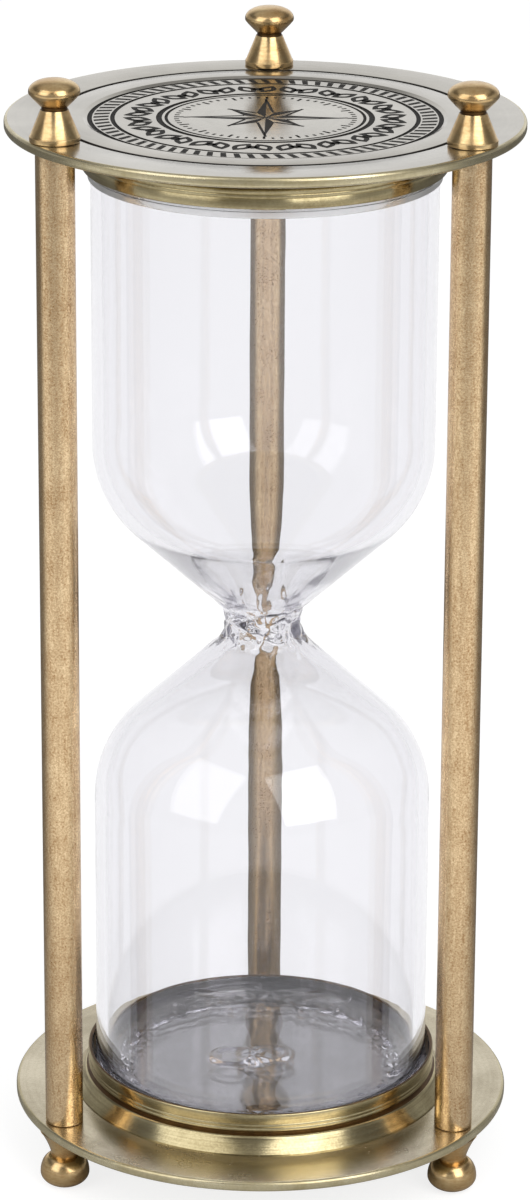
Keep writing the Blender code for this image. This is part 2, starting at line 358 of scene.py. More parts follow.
# Inside the cups the metal is bright and nearly colourless.
cupFloorFinish = brassFinish("polishedCupFloor", {
    "light": "#9E9D9D", "dark": "#7E7D7D", "roughest": 0.14, "smoothest": 0.06,
    "turned": True, "lineSpacing": 0.7 * mm, "grain": 0.5 * mm, "patch": 8 * mm,
    "lineWeight": 0.3, "grainWeight": 0.3, "patchWeight": 1.0, "contrast": 0.3,
    "bump": 0.08, "bumpDepth": 0.05 * mm,
})
# Pillars: drawn brass tube with a satin bronze plating that shows as a fine speckle.
pillarFinish = brassFinish("drawnBronzeTube", {
    "light": "#F8DDB2", "dark": "#B08B61", "roughest": 0.3, "smoothest": 0.18,
    "stretch": (1, 1, 0.12), "lineSpacing": 0.5 * mm, "grain": 0.3 * mm, "patch": 5 * mm,
    "lineWeight": 0.45, "grainWeight": 1.4, "patchWeight": 0.4, "contrast": 0.27,
    "bump": 0.3, "bumpDepth": 0.05 * mm,
})
# Nuts and feet: turned solid brass, polished, golden; the brown in the nut necks is painted shade with
# tarnish, from the darker finish.
nutFinish = brassFinish("polishedBrassNut", {
    "light": "#EAD09E", "dark": "#B8905C", "roughest": 0.29, "smoothest": 0.2,
    "stretch": (0.15, 0.15, 1), "lineSpacing": 0.3 * mm, "grain": 0.5 * mm, "patch": 4 * mm,
    "lineWeight": 0.6, "grainWeight": 0.4, "patchWeight": 0.8, "contrast": 0.35,
    "bump": 0.12, "bumpDepth": 0.04 * mm,
})
# Tarnish left in grooves and necks, where no cloth reaches, together with painted shade: this darker brass
# also stands in for the shade in the cups' grooves and lips and under the nut caps.
tarnishAndShadeFinish = brassFinish("tarnishAndPaintedShadeBrass", {
    "light": "#6E5230", "dark": "#3C2A1A", "roughest": 0.5, "smoothest": 0.35,
    "stretch": (0.2, 0.2, 1), "lineSpacing": 0.3 * mm, "grain": 0.5 * mm, "patch": 3 * mm,
    "lineWeight": 0.5, "grainWeight": 0.5, "patchWeight": 0.8, "contrast": 0.35,
    "bump": 0.1, "bumpDepth": 0.04 * mm,
})
# Zinc-plated steel rods with rolled threads.
steelFinish = brassFinish("zincPlatedSteel", {
    "light": "#C6C7CA", "dark": "#8D8E93", "roughest": 0.42, "smoothest": 0.28,
    "stretch": (1, 1, 0.15), "lineSpacing": 0.4 * mm, "grain": 0.4 * mm, "patch": 5 * mm,
    "lineWeight": 0.6, "grainWeight": 0.5, "patchWeight": 0.6, "contrast": 0.35,
    "bump": 0.1, "bumpDepth": 0.04 * mm,
})


def enamelFinish():
    # Black filling wiped into the engraving: nearly matt, a little greyer where it is thin.
    finish, tree, shader = newFinish("blackEngravingFill", {"Roughness": 0.6, "Specular IOR Level": 0.12})
    place = addNode(tree, "TexCoord").outputs["Object"]
    worn = noiseAt(tree, place, 1.2 * mm, Detail=3)
    colour = blend(tree, worn.outputs["Fac"], "#0C0B0A", "#2A2723")
    tree.links.new(colour.outputs[0], shader.inputs["Base Color"])
    return finish


clearGlass = {
    "tint": "#E6E5EA",
    "tintDensity": 150,  # per metre of wall
    "bouncesInside": 2.5,  # mirror bounces before light is let out
    "letOut": 0.4,
}


def glassFinish():
    # Blown borosilicate: clear, with a trace of violet where it is thick.
    finish, tree, shader = newFinish("blownClearGlass", {
        "Base Color": linearColour("#FBFBFC"), "Roughness": 0.0, "IOR": 1.47, "Transmission Weight": 1})
    place = addNode(tree, "TexCoord").outputs["Object"]
    drawn = addNode(tree, "Mapping", inputs={"Vector": place, "Scale": (1, 1, 0.35)})
    waves = noiseAt(tree, drawn.outputs[0], 9 * mm, Detail=2)
    bump = addNode(tree, "Bump", inputs={
        "Height": waves.outputs["Fac"], "Strength": 0.12, "Distance": 0.25 * mm})
    tree.links.new(bump.outputs[0], shader.inputs["Normal"])
    tint = addNode(tree, "VolumeAbsorption", inputs={
        "Color": linearColour(clearGlass["tint"]), "Density": clearGlass["tintDensity"]})
    tree.links.new(tint.outputs[0], tree.nodes["Material Output"].inputs["Volume"])
    # light that has run along inside the wall is let out again
    rays = addNode(tree, "LightPath")
    trapped = addNode(tree, "Math", {"operation": "GREATER_THAN"}, {
        0: rays.outputs["Glossy Depth"], 1: clearGlass["bouncesInside"]})
    share = addNode(tree, "Math", {"operation": "MULTIPLY"}, {0: trapped.outputs[0], 1: clearGlass["letOut"]})
    clear = addNode(tree, "BsdfTransparent")
    last = addNode(tree, "MixShader", inputs={0: share.outputs[0], 1: shader.outputs[0], 2: clear.outputs[0]})
    tree.links.new(last.outputs[0], tree.nodes["Material Output"].inputs["Surface"])
    return finish


def siliconeFinish():
    # Moulded silicone: translucent white, soft sheen, a faint grain from the mould.
    finish, tree, shader = newFinish("mouldedWhiteSilicone", {
        "Roughness": 0.3, "IOR": 1.41, "Transmission Weight": 0.75})
    place = addNode(tree, "TexCoord").outputs["Object"]
    grain = noiseAt(tree, place, 0.6 * mm, Detail=2)
    colour = blend(tree, grain.outputs["Fac"], "#ECECED", "#FAFAFA")
    tree.links.new(colour.outputs[0], shader.inputs["Base Color"])
    bump = addNode(tree, "Bump", inputs={
        "Height": grain.outputs["Fac"], "Strength": 0.1, "Distance": 0.05 * mm})
    tree.links.new(bump.outputs[0], shader.inputs["Normal"])
    return finish


def feltFinish():
    # Pressed wool felt: matt, short fibres lying in all directions.
    finish, tree, shader = newFinish("pressedGreyFelt", {"Roughness": 0.95, "Sheen Weight": 0.4})
    place = addNode(tree, "TexCoord").outputs["Object"]
    fibres = noiseAt(tree, place, 0.5 * mm, Detail=6, Roughness=0.8, Distortion=1.5)
    colour = blend(tree, fibres.outputs["Fac"], "#4A4A4D", "#8A8A8E")
    tree.links.new(colour.outputs[0], shader.inputs["Base Color"])
    bump = addNode(tree, "Bump", inputs={
        "Height": fibres.outputs["Fac"], "Strength": 0.8, "Distance": 0.15 * mm})
    tree.links.new(bump.outputs[0], shader.inputs["Normal"])
    return finish


def rubberFinish():
    # Moulded nitrile rubber: black, dull, with a dusting of fine pits.
    finish, tree, shader = newFinish("mouldedBlackRubber", {"Roughness": 0.62})
    place = addNode(tree, "TexCoord").outputs["Object"]
    pits = noiseAt(tree, place, 0.4 * mm, Detail=3)
    colour = blend(tree, pits.outputs["Fac"], "#141414", "#2E2E2F")
    tree.links.new(colour.outputs[0], shader.inputs["Base Color"])
    bump = addNode(tree, "Bump", inputs={
        "Height": pits.outputs["Fac"], "Strength": 0.3, "Distance": 0.05 * mm})
    tree.links.new(bump.outputs[0], shader.inputs["Normal"])
    return finish


engravingFill = enamelFinish()


# plates

plate = {
    "edgeRound": 0.5 * mm,
    "holeRadius": 1.9 * mm,
    "steps": 192,
    "ringRadius": 32.2 * mm,  # the engraved line round the lid
    "ringWidth": 0.8 * mm,
    "ringDepth": 0.25 * mm,
    "recessRadius": 27.6 * mm,
    "recessDepth": 0.3 * mm,
    "recessSlope": 0.6 * mm,
    "lineDepth": 0.16 * mm,
    "lines": ((26.95, 0.75), (23.4, 0.6), (16.3, 0.8), (15.2, 0.4)),  # radius, width in mm
}


def plateOutline(low, high, radius, engraved):
    edge = plate["edgeRound"]
    outline = [(0, low), (radius - 1.4 * edge, low)]
    outline += arcPoints(radius - edge, low + edge, edge, -90, 0, 6)
    outline += arcPoints(radius - edge, high - edge, edge, 0, 90, 6)
    outline += [(radius - 1.4 * edge, high)]
    if engraved:
        ring, half, deep = plate["ringRadius"], plate["ringWidth"] / 2, high - plate["ringDepth"]
        outline += [(ring + half + 0.1 * mm, high), (ring + half, high - 0.03 * mm)]
        outline += [(ring + half * 0.5, deep), (ring - half * 0.5, deep)]
        outline += [(ring - half, high - 0.03 * mm), (ring - half - 0.1 * mm, high)]
        floor = high - plate["recessDepth"]
        edgeR, slope = plate["recessRadius"], plate["recessSlope"]
        outline += softened([
            (edgeR + 1 * mm, high), (edgeR + slope / 2, high, 0.3 * mm),
            (edgeR - slope / 2, floor, 0.1 * mm), (edgeR - 2 * slope, floor)])[1:-1]
        for lineRadius, lineWidth in plate["lines"]:
            middle, half = lineRadius * mm, lineWidth * mm / 2
            outline += [(middle + half + 0.05 * mm, floor), (middle + half * 0.6, floor - plate["lineDepth"])]
            outline += [(middle - half * 0.6, floor - plate["lineDepth"]), (middle - half - 0.05 * mm, floor)]
        outline += [(0, floor)]
    else:
        outline += [(0, high)]
    return outline


def makePlate(name, node, body, engraved, faceFinish):
    low, high, radius = span(node)
    piece = turned(name, plateOutline(low, high, radius, engraved), plate["steps"])
    bored(piece, spots, plate["holeRadius"], low - 1 * mm, high + 1 * mm)
    paint(piece, faceFinish, rimFinish, engravingFill)
    paintWhere(piece, 1, lambda r, z, n: z < low + 0.1 * mm or r > radius - 0.45 * mm)
    if engraved:
        ring = plate["ringRadius"]
        floor = high - plate["recessDepth"]
        paintWhere(piece, 2, lambda r, z, n: z > low + 0.5 * mm and (
            abs(r - ring) < plate["ringWidth"] / 2 or r < plate["recessRadius"] and z < floor - 0.02 * mm))
    smooth(piece, 35)
    settle(piece, body, node)


print("turning plates")
makePlate("bottomPlate", "bottom_plate", "stand", False, plateLowFinish)
makePlate("topPlate", "top_plate", "lid", True, plateTopFinish)


# medallion ornament

medallion = {
    "low": -0.08 * mm,  # from the medallion's floor
    "thick": 0.1 * mm,
    "reeds": 76,
    "reedInner": 24.0 * mm,
    "reedOuter": 26.3 * mm,
    "reedWidth": 0.95 * mm,
    "reedLean": 1.5,  # degrees between a reed's two ends
    "leaves": 19,
    "leafMiddle": 19.6 * mm,
    "leafLength": 4.7 * mm,
    "leafWidth": 2.8 * mm,
    "leafLean": 24,
    "leafLine": 0.8 * mm,
    "berry": 0.85 * mm,
    "longPoint": 12.6 * mm,
    "shortPoint": 8.2 * mm,
    "valley": 3.6 * mm,
    "starLine": 0.42 * mm,
    "starRing": 14.0 * mm,
    "tick": 1.5 * mm,
    "tickWidth": 0.4 * mm,
}


def polar(radius, degrees):
    return (radius * math.cos(math.radians(degrees)), radius * math.sin(math.radians(degrees)))


def leafOutline(length, width, steps=7):
    # two arcs that meet in a point at each end, standing on X
    points = []
    for side in (1, -1):
        for i in range(steps):
            share = i / steps
            points.append((side * length * (share - 0.5), side * width / 2 * math.sin(math.pi * share)))
    return points


def leaf(name, lean, turn, low):
    # an open leaf: the outline, then the same outline smaller, bridged to a band
    outline = leafOutline(medallion["leafLength"], medallion["leafWidth"])
    piece = drawOutline(name, outline + outline[:1], "XY")
    bpy.ops.mesh.select_all(action="SELECT")
    bpy.ops.mesh.remove_doubles(threshold=0.0005 * mm)
    bpy.ops.mesh.edge_face_add()
    bpy.ops.mesh.inset(thickness=medallion["leafLine"], depth=0)
    bpy.ops.mesh.delete(type="FACE")
    bpy.ops.mesh.select_all(action="SELECT")
    bpy.ops.mesh.extrude_region_move(TRANSFORM_OT_translate={"value": (0, 0, medallion["thick"])})
    bpy.ops.mesh.select_all(action="SELECT")
    bpy.ops.transform.rotate(value=math.radians(-lean), orient_axis="Z", center_override=(0, 0, 0))
    bpy.ops.transform.translate(value=(medallion["leafMiddle"], 0, low))
    bpy.ops.transform.rotate(value=math.radians(-turn), orient_axis="Z", center_override=(0, 0, 0))
    count = medallion["leaves"]
    bpy.ops.mesh.spin(steps=count - 1, dupli=True, angle=math.tau * (count - 1) / count,
                      center=(0, 0, 0), axis=(0, 0, 1))
    return closeUp(piece)


print("engraving the medallion")
lidFloor = span("top_plate")[1] - plate["recessDepth"]
fillLow = lidFloor + medallion["low"]
fillThick = medallion["thick"]
shapes = []
lean = medallion["reedLean"]
halfReed = math.degrees(medallion["reedWidth"] / 2 / medallion["reedOuter"])
shapes.append(inlay("reeds", [
    polar(medallion["reedInner"], -halfReed), polar(medallion["reedOuter"], lean - halfReed),
    polar(medallion["reedOuter"], lean + halfReed), polar(medallion["reedInner"], halfReed)],
    fillLow, fillThick, medallion["reeds"]))
pitch = 360 / medallion["leaves"]
shapes.append(leaf("leavesLeft", medallion["leafLean"], pitch / 4, fillLow))
shapes.append(leaf("leavesRight", -medallion["leafLean"], -pitch / 4, fillLow))
berry = [(medallion["leafMiddle"] + x, y) for x, y in (polar(medallion["berry"], 45 * i) for i in range(8))]
shapes.append(inlay("berries", berry, fillLow, fillThick, medallion["leaves"]))
for turn, reach in ((0, "longPoint"), (45, "shortPoint")):
    # one dark half of each star point, and a thin line for its bright half
    tip, inner = polar(medallion[reach], turn), polar(medallion["valley"], turn + 22.5)
    shapes.append(inlay("starDark", [(0, 0), inner, tip], fillLow, fillThick, 4))
    other = polar(medallion["valley"], turn - 22.5)
    line = (Vector(tip) - Vector(other)).orthogonal().normalized() * medallion["starLine"]
    shapes.append(inlay("starLine", [
        other, tip, tuple(Vector(tip) + line), tuple(Vector(other) + line)], fillLow, fillThick, 4))
ringR, tick, half = medallion["starRing"], medallion["tick"], medallion["tickWidth"] / 2
for count, length in ((16, tick), (64, tick * 0.5)):
    shapes.append(inlay("ticks", [
        (ringR - length, -half), (ringR, -half), (ringR, half), (ringR - length, half)],
        fillLow, fillThick, count))
ornament = joinAll("medallionFill", shapes)
paint(ornament, engravingFill)
settle(ornament, "lid", None)


# cups

cup = {
    "skirtRise": 2.4 * mm,
    "skirtTop": 28.75 * mm,
    "skirtHollow": 1.15,  # 1 is a plain cone
    "grooveHeight": 2.8 * mm,
    "grooveWidth": 0.45 * mm,
    "grooveDepth": 0.35 * mm,
    "lipRadius": 28.2 * mm,
    "innerRadius": 27.6 * mm,
    "floor": 0.7 * mm,
    # how far the painted shade reaches down inside the lip
    "lipShade": 1.2 * mm,
    "fineLines": (3.75 * mm, 4.35 * mm),  # two scratched lines above the groove
    "steps": 160,
}


def makeCup(name, node, body, upright):
    low, high, skirtRadius = span(node)
    if upright:
        low = span("bottom_plate")[1] + contactGap
    else:
        high = span("top_plate")[0] - contactGap
    height = high - low
    waist = cup["lipRadius"]
    top, rise = cup["skirtTop"], cup["skirtRise"]
    outline = [(0, 0), (skirtRadius - 1 * mm, 0), (skirtRadius, 0)]
    steps = 12
    foot = 0.15 * mm
    for i in range(steps + 1):
        # a slightly hollow slope from the plate up to the groove
        share = i / steps
        swept = (1 - share) ** cup["skirtHollow"] * (skirtRadius - top)
        outline.append((top + swept, foot + share * (rise - foot)))
    groove, wide, deep = cup["grooveHeight"], cup["grooveWidth"], cup["grooveDepth"]
    outline += softened([
        (top, rise), (top - 0.25 * mm, rise + 0.12 * mm, 0.08 * mm), (waist - deep, groove, 0.08 * mm),
        (waist, groove + wide, 0.12 * mm), (waist, groove + 2 * wide)])[1:-1]
    for line in cup["fineLines"]:
        outline += [(waist, line - 0.1 * mm), (waist - 0.05 * mm, line), (waist, line + 0.1 * mm)]
    outline += softened([
        (waist, height - 1 * mm), (waist, height, 0.22 * mm), (cup["innerRadius"], height, 0.2 * mm),
        (cup["innerRadius"], cup["floor"], 0.3 * mm), (20 * mm, cup["floor"])], 6)[1:-1]
    outline += [(cup["innerRadius"] * share, cup["floor"]) for share in (0.75, 0.5, 0.25, 0)]
    base = low
    if not upright:
        outline, base = [(r, -z) for r, z in outline], high
    piece = turned(name, [(r, base + z) for r, z in outline], cup["steps"])
    sign = 1 if upright else -1
    paint(piece, cupFinish, cupFloorFinish, tarnishAndShadeFinish)
    paintWhere(piece, 1, lambda r, z, n: r < cup["innerRadius"] + 0.02 * mm and (z - base) * sign > 0.1 * mm)
    # painted shade, with tarnish: the groove gets the darker finish
    paintWhere(piece, 2, lambda r, z, n: r > waist - deep and r < waist + 0.05 * mm and (
        groove - 0.2 * mm < (z - base) * sign < groove + 0.12 * mm))
    # painted shade, with tarnish: the lip's top and its inside near the mouth get the darker finish
    paintWhere(piece, 2, lambda r, z, n: r < waist - 0.12 * mm and r > cup["innerRadius"] - 0.02 * mm and (
        (z - base) * sign > height - cup["lipShade"]))
    settle(piece, body, node)


print("spinning cups")
makeCup("lowerCup", "lower_cup", "stand", True)
makeCup("upperCup", "upper_cup", "lid", False)


# glass

glass = {
    "wall": 1.8 * mm,
    "endWall": 2.4 * mm,
    "endRound": 4 * mm,
    "neckRadius": 5.9 * mm,
    "neckBlend": 4.8 * mm,
    "boreRadius": 3.2 * mm,
    "boreBlend": 6.5 * mm,
    "shoulderBlend": 18.2 * mm,
    "shoulderFrom": 29.5 * mm,
    "fillHole": 9 * mm,
    "steps": 240,
}


def bulbOutline(waist, waistBlend, radius, shoulder, end, endRound):
    # from the waist up one bulb to the start of its flat end
    shoulderFrom = glass["shoulderFrom"]
    across = radius - shoulder - waist - waistBlend
    reach = math.hypot(across, shoulderFrom)
    flank = math.degrees(math.atan2(across, shoulderFrom) + math.asin((waistBlend + shoulder) / reach))
    outline = arcPoints(waist + waistBlend, 0, waistBlend, 180, 180 - flank, 18)
    bend = arcPoints(radius - shoulder, shoulderFrom, shoulder, -flank, 0, 18)
    (lowR, lowZ), (highR, highZ) = outline[-1], bend[0]
    outline += [(lowR + (highR - lowR) * i / 16, lowZ + (highZ - lowZ) * i / 16) for i in range(1, 16)]
    outline += bend
    outline += arcPoints(radius - endRound, end - endRound, endRound, 0, 90, 10)
    return outline


def flip(outline):
    return [(r, -z) for r, z in outline]


def glassOutline(half, radius):
    outer = bulbOutline(glass["neckRadius"], glass["neckBlend"], radius, glass["shoulderBlend"],
                        half, glass["endRound"])
    inner = bulbOutline(glass["boreRadius"], glass["boreBlend"], radius - glass["wall"],
                        glass["shoulderBlend"] - glass["wall"], half - glass["endWall"],
                        glass["endRound"] - glass["wall"])
    baseRings = [(outer[-1][0] * i / 24, -half) for i in range(24)]
    floorRings = [(inner[-1][0] * i / 64, glass["endWall"] - half) for i in range(63, -1, -1)]
    mouth = softened([
        (glass["fillHole"] + 2 * mm, half), (glass["fillHole"], half, 0.7 * mm),
        (glass["fillHole"], half - glass["endWall"], 0.7 * mm),
        (glass["fillHole"] + 2 * mm, half - glass["endWall"])])[1:-1]
    return baseRings + flip(outer[:0:-1]) + outer + mouth + inner[::-1] + flip(inner[1:]) + floorRings


marks = {
    "loops": ((-4.6, -0.4, 3.0, 0.42), (1.8, 0.6, 2.5, 0.3)),  # x, y, radius and height in mm
    "ridge": 0.75 * mm,
    "lump": (-1.3 * mm, -1.6 * mm),
    "lumpRadius": 2.6 * mm,
    "lumpHeight": 0.7 * mm,
    "lumpPitch": 1.7 * mm,
    "beadRadius": 22.3 * mm,
    "beadWidth": 1.1 * mm,
    "beadHeight": 0.95 * mm,
    "wavePitch": 1.9 * mm,
    "neckReach": 4.3 * mm,  # above and below the waist
    "neckRipple": 0.5 * mm,
    "neckPitch": 2.6 * mm,
}


def blowMarks(piece, floor):
    # the twisted scar where the bulb was cut from the pipe, and the rippled corner round the floor
    lumpX, lumpY = marks["lump"]
    for corner in piece.data.vertices:
        x, y, z = corner.co
        r = math.hypot(x, y)
        if abs(z - floor) < 0.05 * mm and r < 20 * mm:
            for loopX, loopY, loopR, rise in marks["loops"]:
                away = math.hypot(x - loopX * mm, y - loopY * mm) - loopR * mm
                corner.co.z += rise * mm * math.exp(-(away / marks["ridge"]) ** 2)
            near = math.exp(-((x - lumpX) ** 2 + (y - lumpY) ** 2) / marks["lumpRadius"] ** 2)
            lump = noise.noise(Vector((x, y, 0)) / marks["lumpPitch"])
            corner.co.z += marks["lumpHeight"] * near * (0.4 + lump)
            corner.co.z += 0.05 * mm * math.sin(x / (2.1 * mm) + 1.3 * math.sin(y / (2.9 * mm)))
        if abs(z - floor) < 0.05 * mm:
            # an uneven bead where the floor was pressed flat
            ripple = noise.noise(Vector((x, y, 0)) / marks["wavePitch"])
            ripple += 0.7 * noise.noise(Vector((x, y, 5)) / (marks["wavePitch"] * 0.45))
            near = math.exp(-((r - marks["beadRadius"]) / marks["beadWidth"]) ** 2)
            behind = 0.55 + 0.45 * y / max(r, mm)
            corner.co.z += marks["beadHeight"] * near * behind * (0.5 + 2 * ripple)


def neckMarks(piece, middle):
    # folds left where the neck was drawn down and twisted
    for corner in piece.data.vertices:
        x, y, z = corner.co
        near = math.exp(-((z - middle) / marks["neckReach"]) ** 4)
        if near < 0.01:
            continue
        r = math.hypot(x, y)
        fold = noise.noise(Vector((x, y, 1.8 * (z - middle))) / marks["neckPitch"])
        fold += 0.5 * noise.noise(Vector((x, y, z + 7)) / (marks["neckPitch"] * 0.5))
        out = 1 + marks["neckRipple"] * near * fold / r
        corner.co.x, corner.co.y = x * out, y * out


print("blowing the glass")
glassLow, glassHigh, glassRadius = span("glass_bulbs")
glassMiddle = (glassLow + glassHigh) / 2
glassHalf = (glassHigh - glassLow) / 2
wall = [(r, glassMiddle + z) for r, z in glassOutline(glassHalf, glassRadius)]
bulbs = turned("bulbs", wall, glass["steps"])
blowMarks(bulbs, glassLow + glass["endWall"])
neckMarks(bulbs, glassMiddle)
smooth(bulbs, 60)
paint(bulbs, glassFinish())
settle(bulbs, "stand", "glass_bulbs")


# gasket, stopper and pad

print("moulding the soft parts")
gasket = {"inner": 26.9 * mm, "rounding": 0.12 * mm, "inset": 0.6 * mm, "step": 0.3 * mm}
pad = {"inner": 11.4 * mm, "rounding": 0.15 * mm, "inset": 0, "step": 0.1 * mm}


def ringPiece(name, node, body, finish, size, steps=128):
    # the inset is from the outside, the step narrows the upper edge
    low, high, radius = span(node)
    radius -= size["inset"]
    innerRadius, rounding, step = size["inner"], size["rounding"], size["step"]
    outline = softened([
        (innerRadius, (low + high) / 2), (innerRadius, low, rounding), (radius, low, rounding),
        (radius, high - step, rounding), (radius - step, high - step), (radius - step, high),
        (innerRadius, high, rounding), (innerRadius, (low + high) / 2)])
    piece = turned(name, outline[:-1], steps, loop=True)
    paint(piece, finish)
    settle(piece, body, node)


ringPiece("upperGasket", "upper_gasket", "stand", siliconeFinish(), gasket)
ringPiece("upperPad", "upper_pad", "lid", feltFinish(), pad)

stopper = {"plugRadius": 8.7 * mm, "plugTip": 8.2 * mm, "flange": 0.6 * mm, "dimple": 3 * mm}
low, high, radius = span("fill_stopper")
flangeZ = high - stopper["flange"]
stopperPiece = turned("fillStopper", softened([
    (0, low), (stopper["plugTip"], low, 0.5 * mm), (stopper["plugRadius"], flangeZ, 0.15 * mm),
    (radius, flangeZ, 0.15 * mm), (radius, high, 0.2 * mm),
    (stopper["dimple"] + 1 * mm, high, 0.5 * mm), (stopper["dimple"], high - 0.4 * mm, 0.5 * mm),
    (0, high - 0.4 * mm)]), 96)
paint(stopperPiece, rubberFinish())
settle(stopperPiece, "stand", "fill_stopper")


# pillars and rods

pillar = {"wall": 0.9 * mm, "chamfer": 0.25 * mm, "steps": 64}
rod = {"pitch": 0.5 * mm, "threadDepth": 0.28 * mm, "threadLength": 8 * mm, "chamfer": 0.3 * mm, "steps": 24}

print("drawing pillars and rods")
radius = span("pillar_back")[2]
low, high = span("bottom_plate")[1] + contactGap, span("top_plate")[0] - contactGap
inner, middle, edge = radius - pillar["wall"], (low + high) / 2, pillar["chamfer"]
tube = turned("pillarTube", softened([
    (inner, middle), (inner, low), (radius, low, edge), (radius, low + 2 * mm),
    (radius, high - 2 * mm), (radius, high, edge), (inner, high), (inner, middle)])[:-1],
    pillar["steps"], loop=True)
paint(tube, pillarFinish)
standCopies(tube, "brassTube", "pillar_{}", "stand", spots)

low, high, radius = span("tie_rod_back")


def threadPoints(start, turns, step):
    # the crests and roots of a thread along a rod
    points = []
    for i in range(turns):
        z = start + i * step
        points += [(radius, z), (radius - rod["threadDepth"], z + step / 2)]
    return points


turns = int(rod["threadLength"] / rod["pitch"])
rodOutline = [(0, low), (radius - rod["chamfer"], low)]
rodOutline += threadPoints(low + rod["chamfer"], turns, rod["pitch"])
rodOutline += [(radius, low + rod["chamfer"] + turns * rod["pitch"])]
rodOutline += [(r, low + high - z) for r, z in reversed(rodOutline)]
rodPiece = turned("tieRod", rodOutline, rod["steps"])
paint(rodPiece, steelFinish)
standCopies(rodPiece, "threadedRod", "tie_rod_{}", "stand", spots)


# finial nuts

nut = {
    "baseRadius": 3.85 * mm,
    "baseHeight": 0.8 * mm,
    "coneHeight": 4.5 * mm,
    "neckRadius": 2.05 * mm,
    "bowlHeight": 2.3 * mm,  # from the neck to the widest level
    "capRadius": 3.9 * mm,
    "capEdge": 0.3 * mm,
    "domeHeight": 1.9 * mm,
    "domeFullness": 0.85,  # 1 is a plain ellipse, less is fuller
    "bore": 1.9 * mm,
    "boreDepth": 4.5 * mm,
    "steps": 72,
}

print("turning nuts and feet")
low = span("top_plate")[1] + contactGap
neckZ = nut["baseHeight"] + nut["coneHeight"]
capZ = neckZ + nut["bowlHeight"]
baseR, baseZ = nut["baseRadius"], nut["baseHeight"]
neckR, capR, bore = nut["neckRadius"], nut["capRadius"], nut["bore"]
nutOutline = softened([
    (0, nut["boreDepth"]), (bore, nut["boreDepth"]), (bore, 0.3 * mm),
    (bore + 0.3 * mm, 0), (baseR, 0, 0.15 * mm),
    (baseR, baseZ, 0.1 * mm), (baseR - 0.12 * mm, baseZ + 0.1 * mm),
    (neckR + 0.05 * mm, neckZ - 0.45 * mm), (neckR - 0.1 * mm, neckZ - 0.4 * mm, 0.08 * mm),
    (neckR - 0.1 * mm, neckZ, 0.1 * mm), (neckR + 0.1 * mm, neckZ + 0.1 * mm),
    (capR - 0.5 * mm, capZ - 0.9 * mm, 1.2 * mm), (capR, capZ - nut["capEdge"], 0.5 * mm), (capR, capZ)], 6)
for i in range(1, 15):
    angle = math.radians(90 * i / 14)
    nutOutline.append((
        capR * math.cos(angle) ** nut["domeFullness"], capZ + nut["domeHeight"] * math.sin(angle)))
nutOutline[-1] = (0, nutOutline[-1][1])
nutPiece = turned("nutShape", [(r, low + z) for r, z in nutOutline], nut["steps"])
paint(nutPiece, nutFinish, tarnishAndShadeFinish)
# painted shade, with tarnish: the neck under the cap gets the darker finish
paintWhere(nutPiece, 1, lambda r, z, n: low + neckZ - 0.46 * mm < z < low + neckZ + 0.08 * mm)
standCopies(nutPiece, "finialNut", "finial_{}", "finial_{}", spots)


# ball feet

foot = {
    "topRadius": 3.9 * mm,
    "flareHeight": 4.4 * mm,
    "neckRadius": 2.15 * mm,
    "ballRadius": 3.95 * mm,
    "ballDrop": 2.9 * mm,
    "ballHeight": 2.18 * mm,
    "flatRadius": 1.8 * mm,
    "bore": 1.9 * mm,
    "boreDepth": 4.5 * mm,
    "steps": 72,
}

low = span("foot_back")[0]
high = span("bottom_plate")[0] - contactGap
widest = foot["flareHeight"] + foot["ballDrop"]
neckR, ballR = foot["neckRadius"], foot["ballRadius"]
footOutline = [(0, -foot["boreDepth"]), (foot["bore"], -foot["boreDepth"]), (foot["bore"], 0)]
footOutline += [(foot["topRadius"] - 0.12 * mm, 0), (foot["topRadius"], -0.12 * mm)]
for i in range(1, 12):
    share = i / 12
    flare = (foot["topRadius"] - neckR) * (1 - share) ** 1.5
    footOutline.append((neckR + flare, -share * foot["flareHeight"]))
for i in range(11):
    angle = math.radians(9 * i)
    bulge = (ballR - neckR) * math.sin(angle)
    footOutline.append((neckR + bulge, -widest + foot["ballDrop"] * math.cos(angle)))
flatAngle = math.acos(foot["flatRadius"] / ballR)
squash = foot["ballHeight"] / math.sin(flatAngle)
for i in range(1, 11):
    angle = flatAngle * i / 10
    footOutline.append((ballR * math.cos(angle), -widest - squash * math.sin(angle)))
footOutline.append((0, footOutline[-1][1]))
footPiece = turned("footShape", [(r, high + z) for r, z in footOutline], foot["steps"])
paint(footPiece, nutFinish, tarnishAndShadeFinish)
standCopies(footPiece, "ballFoot", "foot_{}", "foot_{}", spots)


# floor, lamps and world

studio = {
    "floorSize": 6,
    "glassGlint": 0.16,  # the share of a lamp that shows in the glass
    "floorGlow": 0.8,  # the share of the floor's white that no shadow dims
    "floorShade": 0.3,
    "floorBright": 0.9,
    # painted shade in reflections: the floor's colour for what metal reflects darkens behind the object and
    # far in front
    "floorDim": 0.22,  # behind the object, in reflections only
    "dimReach": (-0.2, 0.1),  # metres from front to back
    "floorFar": 0.4,  # the share left far in front
    "farReach": (-0.6, -0.2),
    "boxSize": (0.8, 1.15),
    "boxPowers": (4.6, 8.4),
    "boxDistance": 0.95,
    "boxAzimuths": (-47, 35),  # degrees from the camera's side
    "boxHeight": 0.71,
    "fill": 0.6,
    "aimHeight": 0.09,
    "roomBack": 0.95,
    "backReach": (0.55, 0.92),  # how far a direction points to the back, 1 is straight
    "roomCeiling": 0.5,
    "ceilingReach": (0.55, 0.85),
    "roomSides": 0.13,
    "roomLow": 0.4,  # the band just above the horizon, on every side
    "lowReach": (0.35, 0.5),
}

